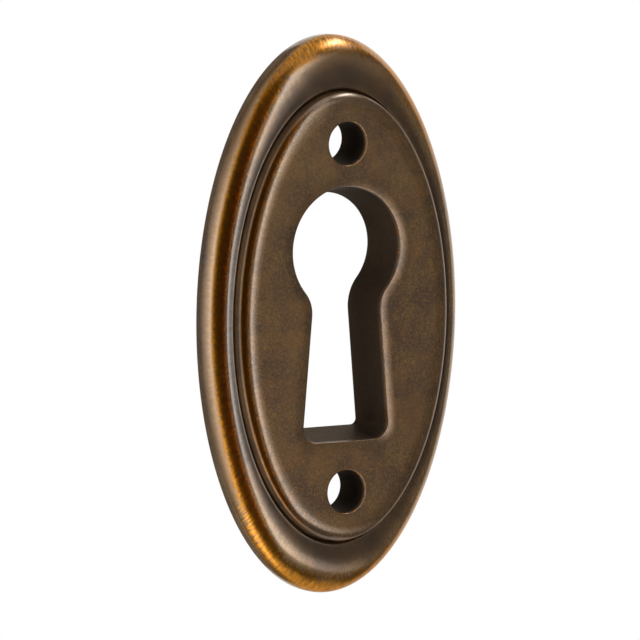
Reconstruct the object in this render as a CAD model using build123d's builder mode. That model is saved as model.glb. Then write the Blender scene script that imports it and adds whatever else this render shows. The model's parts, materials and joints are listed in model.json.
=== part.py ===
from build123d import *
from math import cos, radians, sin
import os

# Keyhole escutcheon: one cast oval plate with a rolled rim, a fine groove, a raised flat centre,
# two screw holes and a keyhole whose walls draw in towards the back. All sizes are millimetres.
# Frame: +Z is up, the front faces -Y and the flat back lies on y = 0. The origin is on the back,
# midway between the two screw holes. Widths across the rim, the groove and the shoulder are given
# twice, at the sides and at the top and bottom ends, because each outline is an oval of its own.

# Outer oval
plate_width = 24.0
plate_height = 45.0
plate_thickness = 3.7
back_edge_break = 0.12

# Rolled rim, from the straight flank of the outer oval to its sharp inner ridge
rim_side_width = 1.95
rim_end_width = 4.15
rim_flank = 0.45

# Groove inside the ridge, and how far its cut runs above the rim
groove_side_width = 0.15
groove_end_width = 0.27
groove_depth = 0.7
cut_margin = 0.5

# Raised centre and the round shoulder at its edge
centre_step = 1.2
shoulder_side_width = 1.6
shoulder_end_width = 1.9
shoulder_rise = 0.8

# Screw holes, one above the other
screw_spacing = 28.0
screw_bore = 3.5

# Keyhole outline at the front face, with its side lean and wall draft in degrees
key_round_diameter = 10.2
key_round_rise = 5.5
key_foot_drop = 10.0
key_foot_width = 8.3
key_side_lean = 5.0
key_neck_round = 2.6
key_foot_round = 1.35
key_draft = 13.0

# Worn break on the front edges of the keyhole and the screw holes
opening_edge_break = 0.15

# Ovals that carry each lofted round, counted from its first to its last
roll_steps = 8
shoulder_steps = 8

# Places worked out from the sizes above
plate_half_width = plate_width / 2
plate_half_height = plate_height / 2
rim_height = plate_thickness - centre_step
roll_rise = rim_height - rim_flank
groove_floor = rim_height - groove_depth
cut_stretch = (groove_depth + cut_margin) / groove_depth
ridge_half_width = plate_half_width - rim_side_width
ridge_half_height = plate_half_height - rim_end_width
centre_half_width = ridge_half_width - groove_side_width
centre_half_height = ridge_half_height - groove_end_width
flat_half_width = centre_half_width - shoulder_side_width
flat_half_height = centre_half_height - shoulder_end_width
shoulder_foot = plate_thickness - shoulder_rise
front_plane = Plane.XZ.offset(plate_thickness)

with BuildPart() as escutcheon_plate:
    # Base: the straight flank of the outer oval, its back edge broken.
    with BuildSketch(Plane.XZ):
        Ellipse(plate_half_width, plate_half_height)
    extrude(amount=rim_flank)
    back_edge = escutcheon_plate.edges().sort_by(Axis.Y)[-1]
    chamfer(back_edge, back_edge_break)

    # Rolled rim: ovals that draw in from the flank to the ridge while they rise.
    for step in range(roll_steps + 1):
        turn = radians(90 * step / roll_steps)
        with BuildSketch(Plane.XZ.offset(rim_flank + roll_rise * sin(turn))):
            Ellipse(
                ridge_half_width + rim_side_width * cos(turn),
                ridge_half_height + rim_end_width * cos(turn),
            )
    loft()

    # Groove: cut to its floor, with a sloping outer wall that leaves the rim's sharp inner ridge.
    with BuildSketch(Plane.XZ.offset(groove_floor)):
        Ellipse(centre_half_width, centre_half_height)
    with BuildSketch(Plane.XZ.offset(rim_height + cut_margin)):
        Ellipse(
            centre_half_width + groove_side_width * cut_stretch,
            centre_half_height + groove_end_width * cut_stretch,
        )
    loft(ruled=True, mode=Mode.SUBTRACT)

    # Raised centre: a straight wall up from the groove's floor, then the shoulder round to the flat.
    with BuildSketch(Plane.XZ.offset(groove_floor)):
        Ellipse(centre_half_width, centre_half_height)
    extrude(amount=shoulder_foot - groove_floor)
    for step in range(shoulder_steps + 1):
        turn = radians(90 * step / shoulder_steps)
        with BuildSketch(Plane.XZ.offset(shoulder_foot + shoulder_rise * sin(turn))):
            Ellipse(
                flat_half_width + shoulder_side_width * cos(turn),
                flat_half_height + shoulder_end_width * cos(turn),
            )
    loft()

    # Keyhole: a round above a slot that widens to its foot, drawn in towards the back.
    with BuildSketch(front_plane) as keyhole:
        with Locations((0, key_round_rise)):
            Circle(key_round_diameter / 2)
        with Locations((0, -key_foot_drop)):
            Trapezoid(
                key_foot_width,
                key_foot_drop + key_round_rise,
                90 - key_side_lean,
                align=(Align.CENTER, Align.MIN),
            )
        neck_corners = keyhole.vertices().group_by(Axis.Y)[1]
        fillet(neck_corners, key_neck_round)
        foot_corners = keyhole.vertices().group_by(Axis.Y)[0]
        fillet(foot_corners, key_foot_round)
    extrude(amount=-plate_thickness, taper=key_draft, mode=Mode.SUBTRACT)

    # Screw holes, straight through.
    with BuildSketch(front_plane):
        with GridLocations(0, screw_spacing, 1, 2):
            Circle(screw_bore / 2)
    extrude(amount=-plate_thickness, mode=Mode.SUBTRACT)

    # The front edges of the openings are worn back.
    front_face = escutcheon_plate.faces().sort_by(Axis.Y)[0]
    opening_edges = [edge for wire in front_face.inner_wires() for edge in wire.edges()]
    chamfer(opening_edges, opening_edge_break)

escutcheon_plate.part.label = "escutcheon_plate"

os.makedirs("parts", exist_ok=True)
export_step(escutcheon_plate.part, "parts/escutcheon_plate.step")
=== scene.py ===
"""Visual model of a cast keyhole escutcheon in dark patinated brass.

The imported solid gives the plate's place and its outer sizes. This script stands an even mesh of the
same form in for it, with the small softnesses of a cast and hand-rubbed plate: a crowned centre,
edges that roll off into the openings and a fine worn ridge. It then dresses that mesh in a patina
which is rubbed back to brass along the rim, and sets it in a small studio. Lengths of the plate are
millimetres, those of the studio metres, and angles degrees unless a docstring says otherwise.
"""
import json
import logging
import math
from dataclasses import dataclass, replace
from enum import Enum, auto
from typing import Any, Callable, Sequence

import bpy
import numpy as np
from mathutils import Matrix, Vector, geometry, noise


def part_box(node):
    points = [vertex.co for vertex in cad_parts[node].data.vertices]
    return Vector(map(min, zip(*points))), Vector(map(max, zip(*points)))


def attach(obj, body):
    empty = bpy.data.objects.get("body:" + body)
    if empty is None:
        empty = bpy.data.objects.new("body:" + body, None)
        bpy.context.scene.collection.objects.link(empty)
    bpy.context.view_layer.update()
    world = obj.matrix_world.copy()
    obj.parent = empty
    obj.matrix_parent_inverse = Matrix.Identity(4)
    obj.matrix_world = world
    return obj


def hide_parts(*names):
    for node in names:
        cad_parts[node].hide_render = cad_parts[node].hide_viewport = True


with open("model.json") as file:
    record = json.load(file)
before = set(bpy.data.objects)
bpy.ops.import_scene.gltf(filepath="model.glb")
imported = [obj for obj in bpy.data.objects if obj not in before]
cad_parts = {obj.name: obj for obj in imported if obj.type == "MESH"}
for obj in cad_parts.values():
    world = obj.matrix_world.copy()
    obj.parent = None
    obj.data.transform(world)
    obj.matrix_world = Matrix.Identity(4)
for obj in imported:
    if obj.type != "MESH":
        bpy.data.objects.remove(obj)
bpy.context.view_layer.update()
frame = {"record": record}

LOG = logging.getLogger("escutcheon")
MM = 0.001
NODE = "escutcheon_plate"
BODY = "root"
IMAGE_SIZE = 640
FULL_TURN = 2.0 * math.pi
QUARTER_TURN = math.pi / 2
TINY = 1e-9

Array = np.ndarray
Colour = tuple[float, float, float]
Socket = bpy.types.NodeSocket
Surface = Callable[[Array], Array]
WHITE: Colour = (1.0, 1.0, 1.0)


class Zone(Enum):
    """The parts of the plate's surface, which wear and hold grime in their own ways."""

    BACK = auto()
    FLANK = auto()
    ROLL = auto()
    RIDGE = auto()
    GROOVE = auto()
    WALL = auto()
    SHOULDER = auto()
    FLAT = auto()
    LIP = auto()
    BORE = auto()


@dataclass(frozen=True)
class Ramp:
    """A smooth change between two measures, which may differ from point to point."""

    low: float | Array
    high: float | Array

    def rise(self, values: Array) -> Array:
        """Return shares that rise from 0 at low to 1 at high."""
        part = np.clip((values - self.low) / (self.high - self.low), 0.0, 1.0)
        return part * part * (3.0 - 2.0 * part)

    def fall(self, values: Array) -> Array:
        """Return shares that fall from 1 at low to 0 at high."""
        return 1.0 - self.rise(values)

    def toward(self, other: "Ramp", share: Array) -> "Ramp":
        """Return the ramp a share of the way to another one."""
        return Ramp(between(self.low, other.low, share), between(self.high, other.high, share))


def between(start: Any, end: Any, part: Any) -> Any:
    """Return the value a part of the way from start to end."""
    return start + (end - start) * part


def direction(azimuth: float, elevation: float) -> Vector:
    """Point from the plate towards a place around it.

    Args:
        azimuth: Degrees from the plate's front, positive towards its right.
        elevation: Degrees above the horizontal.

    Returns:
        A unit vector in the shared frame.
    """
    turn = math.radians(azimuth)
    lift = math.radians(elevation)
    level = math.cos(lift)
    return Vector((math.sin(turn) * level, -math.cos(turn) * level, math.sin(lift)))


def facing(view: Vector) -> Matrix:
    """Return the turn that points local Z along view and keeps local Y upright."""
    return view.to_track_quat("Z", "Y").to_matrix().to_4x4()


def circle(turns: Array) -> Array:
    """Return the unit directions (x, z) at angles in radians."""
    return np.column_stack((np.cos(turns), np.sin(turns)))


def even_turns(count: int) -> Array:
    """Return count even angles round a full turn, in radians."""
    return np.linspace(0.0, FULL_TURN, count, endpoint=False)


def inside(points: Array, loop: Array) -> Array:
    """Tell which points lie inside a closed outline.

    Args:
        points: Points (x, z).
        loop: The outline's points (x, z) in order.

    Returns:
        True for each point inside.
    """
    result = np.zeros(len(points), dtype=bool)
    for start, end in zip(loop, np.roll(loop, -1, axis=0)):
        if start[1] == end[1]:
            continue
        spans = (start[1] > points[:, 1]) != (end[1] > points[:, 1])
        cross = start[0] + (points[:, 1] - start[1]) * (end[0] - start[0]) / (end[1] - start[1])
        result ^= spans & (points[:, 0] < cross)
    return result


def in_area(points: Array, fence: Array, holes: Sequence[Array]) -> Array:
    """Tell which points lie inside one outline and outside others.

    Args:
        points: Points (x, z).
        fence: The outline round the area.
        holes: The outlines of the openings in it.

    Returns:
        True for each point in the area.
    """
    wanted = inside(points, fence)
    for hole in holes:
        wanted &= ~inside(points, hole)
    return wanted


def new_mesh(name: str, points: Sequence, faces: Sequence) -> bpy.types.Mesh:
    """Make a mesh.

    Args:
        name: Its name.
        points: Its points in metres.
        faces: Its faces, by their points' numbers.

    Returns:
        The mesh.
    """
    mesh = bpy.data.meshes.new(name)
    mesh.from_pydata(points, [], faces)
    return mesh


def put(name: str, data: bpy.types.ID) -> bpy.types.Object:
    """Put a mesh, a lamp or a camera into the scene.

    Args:
        name: The object's name.
        data: The mesh, the lamp or the camera.

    Returns:
        The object.
    """
    piece = bpy.data.objects.new(name, data)
    bpy.context.scene.collection.objects.link(piece)
    return piece


def store(mesh: bpy.types.Mesh, name: str, values: Array) -> None:
    """Store one value per point of a mesh."""
    attribute = mesh.attributes.new(name, "FLOAT", "POINT")
    attribute.data.foreach_set("value", values.astype(np.float32))


@dataclass(frozen=True)
class Oval:
    """An oval round the plate's middle, by its half axes."""

    half_width: float
    half_height: float

    def inset(self, side: float, end: float | None = None) -> "Oval":
        """Return the oval drawn in by side at its sides and, unless end differs, at its ends."""
        return Oval(self.half_width - side, self.half_height - (side if end is None else end))

    def ring(self, count: int) -> Array:
        """Return count points (x, z) round the oval, from its right side upwards."""
        return circle(even_turns(count)) * (self.half_width, self.half_height)

    def reach(self, points: Array) -> Array:
        """Return how far out points (x, z) lie, as a share of the oval, 1 on its line."""
        return np.hypot(points[:, 0] / self.half_width, points[:, 1] / self.half_height)

    def outward(self, points: Array) -> Array:
        """Return the unit directions (x, z) in which the oval faces at points (x, z)."""
        slope = points / (self.half_width**2, self.half_height**2)
        return slope / np.maximum(np.linalg.norm(slope, axis=1, keepdims=True), TINY)

    def depth(self, points: Array, count: int = 720) -> Array:
        """Return the distance of points (x, z) from the oval's line, taken as count points."""
        line = self.ring(count)
        return np.array([np.linalg.norm(line - point, axis=1).min() for point in points])

    def travel(self, points: Array, count: int = 3600) -> tuple[Array, float]:
        """Measure how far round the oval points lie.

        Args:
            points: Points (x, z).
            count: Chords that the oval is measured with.

        Returns:
            The distance along the oval's line for each point, and the whole way round.
        """
        line = self.ring(count)
        chords = np.linalg.norm(np.roll(line, -1, axis=0) - line, axis=1)
        run = np.concatenate(((0.0,), np.cumsum(chords)))
        turn = np.arctan2(points[:, 1] / self.half_height, points[:, 0] / self.half_width)
        share = np.mod(turn / FULL_TURN, 1.0)
        return np.interp(share, np.linspace(0.0, 1.0, count + 1), run), float(run[-1])


Station = tuple[Oval, float, Zone]


class Draft:
    """A mesh in the making: points with their zones, and the faces between them."""

    clearance: float = 0.6
    weld: float = 1e-7

    def __init__(self) -> None:
        """Start with nothing."""
        self.blocks: list[Array] = []
        self.zones: list[Zone] = []
        self.faces: list[tuple[int, ...]] = []

    def points(self) -> Array:
        """Return every point so far."""
        return np.concatenate(self.blocks)

    def places(self, ring: Array) -> Array:
        """Return a ring's points (x, z)."""
        return self.points()[ring][:, [0, 2]]

    def ring(self, places: Array, rise: Array | float, zone: Zone) -> Array:
        """Add a row of points.

        Args:
            places: Points (x, z) as seen from the front.
            rise: Height of each above the back.
            zone: The surface that the points belong to.

        Returns:
            The new points' numbers.
        """
        first = len(self.zones)
        depth = -np.broadcast_to(rise, len(places))
        self.blocks.append(np.column_stack((places[:, 0], depth, places[:, 1])))
        self.zones.extend([zone] * len(places))
        return np.arange(first, first + len(places))

    def bridge(self, rings: Sequence[Array]) -> None:
        """Close the bands between rings of the same count with four-sided faces.

        Args:
            rings: The rings' numbers, in order.
        """
        for near, far in zip(rings, rings[1:]):
            quads = np.column_stack((near, np.roll(near, -1), np.roll(far, -1), far))
            self.faces.extend(tuple(quad) for quad in quads.tolist())

    def fill(
        self, outer: Array, inner: Sequence[Array], spacing: float, surface: Surface, zone: Zone
    ) -> None:
        """Close the area inside one ring and outside others with even triangles.

        Args:
            outer: The ring round the area.
            inner: The rings of the openings in it.
            spacing: Distance between the points added inside.
            surface: Gives the rise at points (x, z).
            zone: The surface that the area belongs to. The back's faces are turned round.
        """
        fence, *holes = (self.places(ring) for ring in (outer, *inner))
        added = self.spread(fence, holes, spacing)
        fresh = self.ring(added, surface(added), zone)
        numbers = np.concatenate((outer, *inner, fresh))
        edges = []
        start = 0
        for loop in (fence, *holes):
            count = len(loop)
            edges.extend((start + i, start + (i + 1) % count) for i in range(count))
            start += count
        corners = [Vector(place) for place in np.concatenate((fence, *holes, added))]
        places, _, triangles, sources, *_ = geometry.delaunay_2d_cdt(corners, edges, [], 0, self.weld)
        middles = np.array([sum((places[i] for i in face), Vector((0, 0))) / 3 for face in triangles])
        order = -1 if zone is Zone.BACK else 1
        for face, keep in zip(triangles, in_area(middles, fence, holes)):
            if keep:
                self.faces.append(tuple(int(numbers[sources[i][0]]) for i in face[::order]))

    def spread(self, fence: Array, holes: Sequence[Array], spacing: float) -> Array:
        """Lay even points inside one outline, clear of it and of the openings.

        Args:
            fence: The outline round the area.
            holes: The outlines of the openings in it.
            spacing: Distance between neighbours.

        Returns:
            The points (x, z).
        """
        (left, low), (right, high) = fence.min(axis=0), fence.max(axis=0)
        rows = []
        for number, height in enumerate(np.arange(low, high, spacing * math.sqrt(3) / 2)):
            across = np.arange(left, right, spacing) + (number % 2) * spacing / 2
            rows.append(np.column_stack((across, np.full(len(across), height))))
        grid = np.concatenate(rows)
        grid = grid[in_area(grid, fence, holes)]
        for line in (fence, *holes):
            gaps = np.linalg.norm(grid[:, None, :] - line[None, :, :], axis=2).min(axis=1)
            grid = grid[gaps > self.clearance * spacing]
        return grid

    def finish(self, name: str) -> bpy.types.Object:
        """Make the piece, in metres, in the shared frame.

        Args:
            name: The piece's name.

        Returns:
            The piece.
        """
        mesh = new_mesh(name, (self.points() * MM).tolist(), self.faces)
        mesh.validate()
        return put(name, mesh)


@dataclass
class PlateSection:
    """The plate's section, as rings from the edge of its back to the edge of its flat."""

    outer: Oval
    thickness: float
    back_break: float = 0.12
    flank: float = 0.45
    flank_parts: tuple[float, ...] = (0.0, 0.35, 0.7, 1.0)
    rim_side: float = 2.03
    rim_end: float = 4.15
    roll_steps: int = 30
    bead_width: float = 0.12
    bead_rise: float = 0.012
    bead_foot_drop: float = 0.005
    bead_gap: float = 0.02
    bead_steps: int = 6
    ridge_round: float = 0.11
    ridge_outside: float = 0.6
    ridge_steps: int = 5
    groove_side: float = 0.07
    groove_end: float = 0.27
    groove_depth: float = 0.5
    groove_floor_width: float = 0.02
    groove_steps: int = 5
    centre_step: float = 1.2
    wall_lean: float = 0.04
    wall_rise: float = 0.10
    wall_steps: int = 7
    shoulder_side: float = 1.6
    shoulder_end: float = 1.9
    shoulder_rise: float = 0.8
    shoulder_power: float = 1.8
    shoulder_steps: int = 22
    crown: float = 0.02
    around: int = 640

    @property
    def rim_height(self) -> float:
        """Return the height of the rim's ridge above the back."""
        return self.thickness - self.centre_step

    @property
    def groove_floor(self) -> float:
        """Return the height of the groove's floor above the back."""
        return self.rim_height - self.groove_depth

    @property
    def ridge(self) -> Oval:
        """Return the oval of the rim's ridge."""
        return self.outer.inset(self.rim_side, self.rim_end)

    @property
    def centre(self) -> Oval:
        """Return the oval of the raised centre's wall."""
        return self.ridge.inset(self.groove_side, self.groove_end)

    @property
    def flat(self) -> Oval:
        """Return the oval where the shoulder meets the flat."""
        return self.centre.inset(self.shoulder_side, self.shoulder_end)

    def surface(self, points: Array) -> Array:
        """Return the crowned front's rise at points (x, z)."""
        return self.thickness - self.crown * self.flat.reach(points) ** 2

    @staticmethod
    def level(points: Array) -> Array:
        """Return the back's rise at points (x, z), which is nothing."""
        return np.zeros(len(points))

    def stations(self) -> list[Station]:
        """Return all rings in order.

        Returns:
            An oval, its rise and its zone for each ring.
        """
        rows = [(self.outer.inset(self.back_break), 0.0, Zone.BACK)]
        for part in self.flank_parts:
            rows.append((self.outer, between(self.back_break, self.flank, part), Zone.FLANK))
        return [*rows, *self.roll(), *self.ridge_and_groove(), *self.wall_and_shoulder()]

    def roll(self) -> list[Station]:
        """Make the rolled rim, a quarter turn from the flank to where the bead starts.

        Returns:
            The rings, without the one on the flank.
        """
        bead = self.bead_width + self.ridge_outside * self.ridge_round
        limit = self.ridge.half_width + bead + self.bead_gap
        rows = []
        for step in range(1, self.roll_steps + 1):
            turn = QUARTER_TURN * step / self.roll_steps
            inset = 1.0 - math.cos(turn)
            oval = self.outer.inset(self.rim_side * inset, self.rim_end * inset)
            if oval.half_width > limit:
                rows.append((oval, between(self.flank, self.rim_height, math.sin(turn)), Zone.ROLL))
        return rows

    def ridge_and_groove(self) -> list[Station]:
        """Make the bead, the ridge's tiny round and the groove's sloping outer wall.

        Returns:
            The rings, down to the groove's floor.
        """
        lean = math.atan2(self.groove_side, self.groove_depth)
        start = -self.ridge_outside * self.ridge_round
        foot = self.rim_height - self.bead_foot_drop
        top = self.rim_height + self.bead_rise
        rows = []
        for step in range(self.bead_steps):
            part = step / self.bead_steps
            inset = start - self.bead_width * (1.0 - part)
            rise = between(foot, top, part * part * (3 - 2 * part))
            rows.append((self.ridge.inset(inset), rise, Zone.RIDGE))
        for step in range(self.ridge_steps + 1):
            turn = (QUARTER_TURN - lean) * step / self.ridge_steps
            inset = start + self.ridge_round * math.sin(turn)
            rise = top - self.ridge_round * (1.0 - math.cos(turn))
            rows.append((self.ridge.inset(inset), rise, Zone.RIDGE))
        for step in range(1, self.groove_steps + 1):
            part = step / self.groove_steps
            side = between(inset, self.groove_side - self.groove_floor_width, part)
            end = between(inset, self.groove_end - self.groove_floor_width, part)
            rows.append((self.ridge.inset(side, end), between(rise, self.groove_floor, part), Zone.GROOVE))
        return rows

    def wall_and_shoulder(self) -> list[Station]:
        """Make the raised centre's wall and its round shoulder.

        Returns:
            The rings, from the groove's floor to the flat.
        """
        top = self.thickness - self.crown
        foot = top - self.shoulder_rise + self.wall_rise
        bend = 2.0 / self.shoulder_power
        rows = []
        for step in range(self.wall_steps):
            part = step / self.wall_steps
            zone = Zone.WALL if step else Zone.GROOVE
            oval = self.centre.inset(self.wall_lean * part)
            rows.append((oval, between(self.groove_floor, foot, part), zone))
        for step in range(self.shoulder_steps + 1):
            turn = QUARTER_TURN * step / self.shoulder_steps
            inset = 1.0 - math.cos(turn) ** bend
            side = between(self.wall_lean, self.shoulder_side, inset)
            end = between(self.wall_lean, self.shoulder_end, inset)
            rise = between(foot, top, math.sin(turn) ** bend)
            rows.append((self.centre.inset(side, end), rise, Zone.SHOULDER))
        return rows


@dataclass
class Opening:
    """An opening through the plate: its outline at the front, and how its front edge is worn.

    The lip first rolls off gently from the flat, then turns round a tight edge into the wall. The
    taper is how far the wall draws in towards the back.
    """

    outline: Array
    inward: Array
    taper: float = 0.0
    roll_width: float = 0.85
    roll_slope: float = 17.0
    edge_round: float = 0.035
    roll_steps: int = 6
    edge_steps: int = 6
    wall_steps: int = 10

    def profile(self, thickness: float) -> list[tuple[float, float, Zone]]:
        """Work out the section through the lip and the wall.

        Args:
            thickness: The plate's thickness.

        Returns:
            Steps from the flat to the back, each an offset into the opening, a drop below the
            front and a zone.
        """
        slope = math.radians(self.roll_slope)
        taper = math.radians(self.taper)
        fall = self.roll_width * math.tan(slope) / 2
        centre_drop = fall + self.edge_round * math.cos(slope)
        centre = (centre_drop * math.sin(taper) - self.edge_round) / math.cos(taper)
        roll_start = centre + self.edge_round * math.sin(slope) - self.roll_width
        rows = []
        for step in range(self.roll_steps):
            part = step / self.roll_steps
            rows.append((roll_start + part * self.roll_width, fall * part * part, Zone.LIP))
        for step in range(self.edge_steps + 1):
            lean = between(slope, QUARTER_TURN - taper, step / self.edge_steps)
            offset = centre + self.edge_round * math.sin(lean)
            rows.append((offset, centre_drop - self.edge_round * math.cos(lean), Zone.LIP))
        wall_top = rows[-1][1]
        for step in range(1, self.wall_steps + 1):
            drop = between(wall_top, thickness, step / self.wall_steps)
            rows.append((drop * math.tan(taper), drop, Zone.BORE))
        return rows

    def cut(self, draft: Draft, section: PlateSection) -> tuple[Array, Array]:
        """Add the lip and the wall to a mesh.

        Args:
            draft: The mesh in the making.
            section: The plate that the opening goes through.

        Returns:
            The rings where the lip meets the flat and where the wall meets the back.
        """
        rings = []
        for offset, drop, zone in self.profile(section.thickness):
            places = self.outline + offset * self.inward
            rise = section.surface(places) * (1.0 - drop / section.thickness)
            rings.append(draft.ring(places, rise, zone))
        draft.bridge(rings)
        return rings[0], rings[-1]


@dataclass
class Keyhole:
    """The keyhole's front outline: a round above a slot that widens to its foot."""

    round_radius: float = 5.1
    round_rise: float = 5.5
    foot_drop: float = 10.0
    foot_half_width: float = 4.15
    side_lean: float = 5.0
    neck_round: float = 2.6
    foot_round: float = 1.35
    taper: float = 13.0
    spacing: float = 0.13

    def arc(
        self, centre: Vector, radius: float, start: float, end: float, hollow: bool = False
    ) -> tuple[Array, Array]:
        """Lay points along an arc of the outline.

        Args:
            centre: The arc's centre (x, z).
            radius: Its radius.
            start: The angle where it starts, in radians.
            end: The angle where it ends.
            hollow: True where the arc bulges into the opening.

        Returns:
            The points without the last one, and the directions into the opening.
        """
        count = max(3, round(abs(end - start) * radius / self.spacing))
        out = circle(np.linspace(start, end, count, endpoint=False))
        return np.array(centre) + radius * out, out if hollow else -out

    def line(self, start: Sequence[float], end: Sequence[float]) -> tuple[Array, Array]:
        """Lay points along a straight stretch of the outline.

        Args:
            start: Its first end (x, z).
            end: Its last end, which is left out.

        Returns:
            The points and the directions into the opening.
        """
        run = np.array(end) - np.array(start)
        length = float(np.linalg.norm(run))
        count = max(2, round(length / self.spacing))
        part = np.linspace(0.0, 1.0, count, endpoint=False)[:, None]
        left = np.array((-run[1], run[0])) / length
        return np.array(start) + part * run, np.broadcast_to(left, (count, 2))

    def opening(self) -> Opening:
        """Lay out the right half, mirror it and make the opening.

        Returns:
            The opening, its outline running anticlockwise from the middle of its foot.
        """
        lean = math.radians(self.side_lean)
        up_side = Vector((-math.sin(lean), math.cos(lean)))
        outward = Vector((math.cos(lean), math.sin(lean)))
        foot_corner = Vector((self.foot_half_width, -self.foot_drop))
        round_centre = Vector((0.0, self.round_rise))
        along = (self.foot_round + outward.y * self.foot_round) / up_side.y
        foot_centre = foot_corner + up_side * along - outward * self.foot_round
        foot_centre.y = -self.foot_drop + self.foot_round
        off_side = self.neck_round - (round_centre - foot_corner).dot(outward)
        reach = self.round_radius + self.neck_round
        down = math.sqrt(reach * reach - off_side * off_side)
        neck_centre = round_centre + outward * off_side - up_side * down
        to_round = (round_centre - neck_centre).normalized()
        lean_angle = math.atan2(outward.y, outward.x)
        neck_end = math.atan2(to_round.y, to_round.x)
        join = math.atan2(-to_round.y, -to_round.x)
        right = (
            self.line((0.0, -self.foot_drop), (foot_centre.x, -self.foot_drop)),
            self.arc(foot_centre, self.foot_round, -QUARTER_TURN, lean_angle),
            self.line(foot_centre + outward * self.foot_round, neck_centre - outward * self.neck_round),
            self.arc(neck_centre, self.neck_round, lean_angle + math.pi, neck_end, hollow=True),
            self.arc(round_centre, self.round_radius, join, QUARTER_TURN),
        )
        points, inward = (np.concatenate(rows) for rows in zip(*right))
        top = ((0.0, self.round_rise + self.round_radius),)
        down_in = ((0.0, -1.0),)
        flip = (-1, 1)
        outline = np.concatenate((points, top, points[:0:-1] * flip))
        return Opening(outline, np.concatenate((inward, down_in, inward[:0:-1] * flip)), self.taper)


class NodeBench:
    """Short calls for laying out the nodes of one tree."""

    def __init__(self, tree: bpy.types.NodeTree) -> None:
        """Work on the node tree of a material, a group or a world."""
        self.tree = tree

    def node(self, kind: str, inputs: dict[Any, Any] | None = None, **settings: Any) -> bpy.types.Node:
        """Add a node.

        Args:
            kind: The node's type name without its ShaderNode prefix, or a full type name.
            inputs: Sockets to link or values to set, by the input's name or number.
            settings: Attributes to set on the node.

        Returns:
            The node.
        """
        made = self.tree.nodes.new(kind if kind.startswith("Node") else f"ShaderNode{kind}")
        for name, value in settings.items():
            setattr(made, name, value)
        self.feed(made, inputs or {})
        return made

    def feed(self, node: bpy.types.Node, inputs: dict[Any, Any]) -> None:
        """Link sockets to a node's inputs, or set the inputs' own values.

        Args:
            node: The node.
            inputs: Sockets to link or values to set, by the input's name or number.
        """
        for name, value in inputs.items():
            socket = node.inputs[name]
            if isinstance(value, bpy.types.NodeSocket):
                self.tree.links.new(value, socket)
            elif socket.type == "RGBA":
                socket.default_value = (*value, 1.0)
            else:
                socket.default_value = value

    def maths(self, operation: str, first: Any, second: Any) -> Socket:
        """Return the result of a Math node."""
        return self.node("Math", {0: first, 1: second}, operation=operation).outputs[0]

    def times(self, first: Any, second: Any) -> Socket:
        """Return the product of two values."""
        return self.maths("MULTIPLY", first, second)

    def eased(self, value: Any, low: float, high: float, start: float = 0.0, end: float = 1.0) -> Socket:
        """Map a value smoothly from one range to another.

        Args:
            value: The value to map.
            low: Where the result is start.
            high: Where the result is end.
            start: The result at low.
            end: The result at high.

        Returns:
            The mapped value.
        """
        inputs = {"Value": value, "From Min": low, "From Max": high, "To Min": start, "To Max": end}
        return self.node("MapRange", inputs, interpolation_type="SMOOTHSTEP").outputs["Result"]

    def mixed(self, factor: Any, first: Any, second: Any) -> Socket:
        """Return two colours mixed, by how much of the second shows."""
        return self.node("Mix", {0: factor, 6: first, 7: second}, data_type="RGBA").outputs[2]

    def blended(self, factor: Any, first: Any, second: Any) -> Socket:
        """Return two values mixed, by how much of the second shows."""
        return self.node("Mix", {0: factor, 2: first, 3: second}, data_type="FLOAT").outputs[0]

    def noise(self, vector: Any, scale: float, detail: float, roughness: float) -> Socket:
        """Return a noise of about 0.3 to 0.7, by its features per unit and its finer octaves."""
        inputs = {"Vector": vector, "Scale": scale, "Detail": detail, "Roughness": roughness}
        return self.node("TexNoise", inputs, noise_dimensions="3D").outputs["Fac"]

    def group(self, tree: bpy.types.NodeTree, vector: Any) -> dict[str, Socket]:
        """Place a node group and return its outputs by name."""
        made = self.node("Group", {"Vector": vector}, node_tree=tree)
        return {output.name: output for output in made.outputs}

    def seen(self) -> Socket:
        """Tell the rays that show the surroundings: straight, mirrored or through glass.

        Returns:
            1 for those rays, 0 for the others.
        """
        rays = self.node("LightPath").outputs
        either = self.maths("MAXIMUM", rays["Is Camera Ray"], rays["Is Glossy Ray"])
        return self.maths("MAXIMUM", either, rays["Is Transmission Ray"])


class GroupBench(NodeBench):
    """A bench for a new node group with one vector input."""

    def __init__(self, name: str) -> None:
        """Start the group.

        Args:
            name: The group's name.
        """
        super().__init__(bpy.data.node_groups.new(name, "ShaderNodeTree"))
        self.tree.interface.new_socket("Vector", in_out="INPUT", socket_type="NodeSocketVector")
        self.vector = self.node("NodeGroupInput").outputs["Vector"]

    def close(self, outputs: dict[str, Socket]) -> bpy.types.NodeTree:
        """Give the group its value outputs.

        Args:
            outputs: The values by the outputs' names.

        Returns:
            The group.
        """
        for name in outputs:
            self.tree.interface.new_socket(name, in_out="OUTPUT", socket_type="NodeSocketFloat")
        self.node("NodeGroupOutput", outputs)
        return self.tree


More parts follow.
